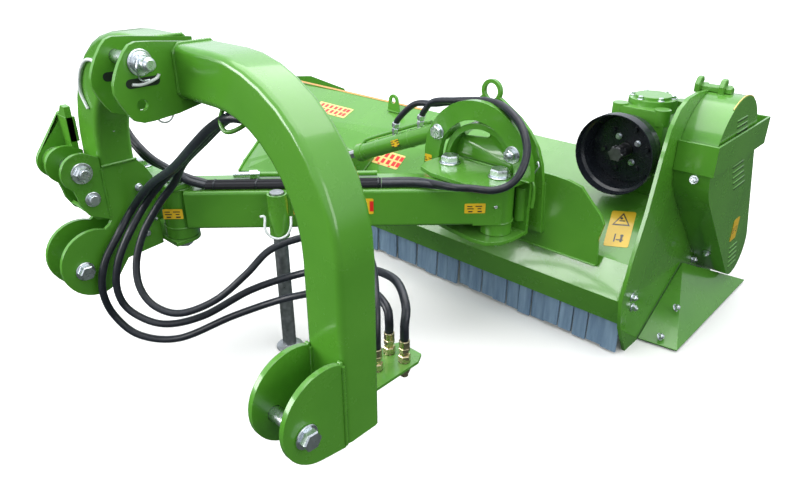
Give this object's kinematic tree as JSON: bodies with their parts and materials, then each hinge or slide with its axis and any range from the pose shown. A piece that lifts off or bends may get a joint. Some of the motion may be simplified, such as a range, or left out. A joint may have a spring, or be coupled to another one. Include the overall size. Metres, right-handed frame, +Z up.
{
  "type": "brush mower",
  "caption": "Side-shift flail mower: arched three-point headstock, parallelogram arm, tilt carriage with ram, hooded rotor head with flap curtain, gearbox and belt guard.",
  "frame": {"origin": "on the ground under the middle of the bounding box", "axes": "+X towards the drive guard (the tractor's left), +Y rearwards away from the tractor, +Z up"},
  "size_m": [2.037, 1.7694, 0.907],
  "materials": {
    "paint": "gloss green enamel on steel plate, tube and sheet",
    "zinc": "zinc-plated steel",
    "chrome": "hard chrome",
    "rubber": "black hydraulic hose cover",
    "plastic": "black moulded plastic",
    "flap": "blue-grey rubber flap",
    "casting": "green enamel on cast iron",
    "blade": "bare and phosphated steel"
  },
  "bodies": {
    "headstock": {"arch_near_tube": "paint", "arch_far_tube": "paint", "toplink_plate_near": "paint", "toplink_plate_far": "paint", "toplink_pin": "zinc", "clevis_near_outer": "paint", "clevis_near_inner": "paint", "lower_pin_near": "zinc", "gusset_plate_near": "paint", "gusset_plate_far": "paint", "gusset_web": "paint", "shear_bolt": "zinc", "lower_pin_far": "zinc", "cheek_far": "paint", "hinge_lug_top": "paint", "hinge_lug_bottom": "paint", "hinge_bolt_arm": "zinc", "hinge_bolt_link": "zinc", "hose_bracket": "paint", "hose_coupling_1": "zinc", "hose_coupling_2": "zinc", "hose_coupling_3": "zinc", "loop_hose_1": "rubber", "loop_hose_2": "rubber", "loop_hose_3": "rubber"},
    "arm": {"main_beam": "paint", "beam_hose_1": "rubber", "beam_hose_2": "rubber"},
    "link": {"rear_link": "paint"},
    "jack": {"jack_leg": "zinc"},
    "carriage": {"carriage_top": "paint", "carriage_bottom": "paint", "carriage_web": "paint", "tilt_ring": "paint", "tilt_bearing": "paint", "ram_foot_pin": "zinc", "pivot_bolt_arm": "zinc", "pivot_bolt_link": "zinc"},
    "barrel": {"tilt_barrel": "paint"},
    "piston": {"tilt_rod": "chrome"},
    "head": {"tilt_plate": "paint", "hood_base": "paint", "hood_shell": "paint", "side_plate_near": "paint", "side_plate_far": "paint", "skid_near": "paint", "skid_far": "paint", "hood_fork": "paint", "ram_head_pin": "zinc", "lifting_lug": "paint", "gearbox_saddle": "paint", "gearbox_case": "casting", "pto_bell": "plastic", "belt_guard": "paint", "guard_strap": "paint"},
    "curtain": {"flap_curtain": "flap"},
    "rotor": {"rotor": "blade"},
    "roller": {"rear_roller": "blade"},
    "input": {"pto_shaft": "zinc"},
    "drive": {"drive_pulley": "blade"}
  },
  "joints": [
    {"name": "arm_swing", "type": "hinge", "parent": "headstock", "child": "arm", "pos_m": [-0.06, -0.565, 0.4125], "axis": [0, 0, 1], "range_deg": [0, 80]},
    {"name": "link_swing", "type": "hinge", "parent": "headstock", "child": "link", "pos_m": [-0.23, -0.565, 0.412], "axis": [0, 0, 1], "range_deg": [0, 80]},
    {"name": "carriage_turn", "type": "hinge", "parent": "arm", "child": "carriage", "pos_m": [0.55, 0.045, 0.4], "axis": [0, 0, 1], "range_deg": [-80, 0]},
    {"name": "jack_slide", "type": "slide", "parent": "arm", "child": "jack", "axis": [0, 0, 1], "range_m": [0, 0.25]},
    {"name": "head_tilt", "type": "hinge", "parent": "carriage", "child": "head", "pos_m": [0.455, 0.138, 0.475], "axis": [0, 1, 0], "range_deg": [-15, 20]},
    {"name": "ram_swing", "type": "hinge", "parent": "carriage", "child": "barrel", "pos_m": [0.32, 0.107, 0.556], "axis": [0, 1, 0], "range_deg": [-18, 24]},
    {"name": "ram_stroke", "type": "slide", "parent": "barrel", "child": "piston", "axis": [-0.9218, 0, -0.3876], "range_m": [-0.043, 0.032]},
    {"name": "flap_swing", "type": "hinge", "parent": "head", "child": "curtain", "pos_m": [0, 0.179, 0.103], "axis": [1, 0, 0], "range_deg": [-15, 50]},
    {"name": "rotor_spin", "type": "hinge", "parent": "head", "child": "rotor", "pos_m": [0, 0.7, 0.195], "axis": [1, 0, 0], "continuous": true},
    {"name": "roller_spin", "type": "hinge", "parent": "head", "child": "roller", "pos_m": [0, 0.839, 0.045], "axis": [1, 0, 0], "continuous": true},
    {"name": "input_spin", "type": "hinge", "parent": "head", "child": "input", "pos_m": [0.76, 0.275, 0.535], "axis": [0, 1, 0], "continuous": true},
    {"name": "drive_spin", "type": "hinge", "parent": "head", "child": "drive", "pos_m": [0.915, 0.47, 0.535], "axis": [1, 0, 0], "continuous": true}
  ],
  "couplings": [
    {"joint": "link_swing", "follows": "arm_swing", "ratio": 1},
    {"joint": "carriage_turn", "follows": "arm_swing", "ratio": -1},
    {"joint": "ram_swing", "follows": "head_tilt", "ratio": 1.185},
    {"joint": "ram_stroke", "follows": "head_tilt", "m_per_rad": -0.12},
    {"joint": "input_spin", "follows": "rotor_spin", "ratio": 0.21},
    {"joint": "drive_spin", "follows": "rotor_spin", "ratio": 0.63}
  ]
}
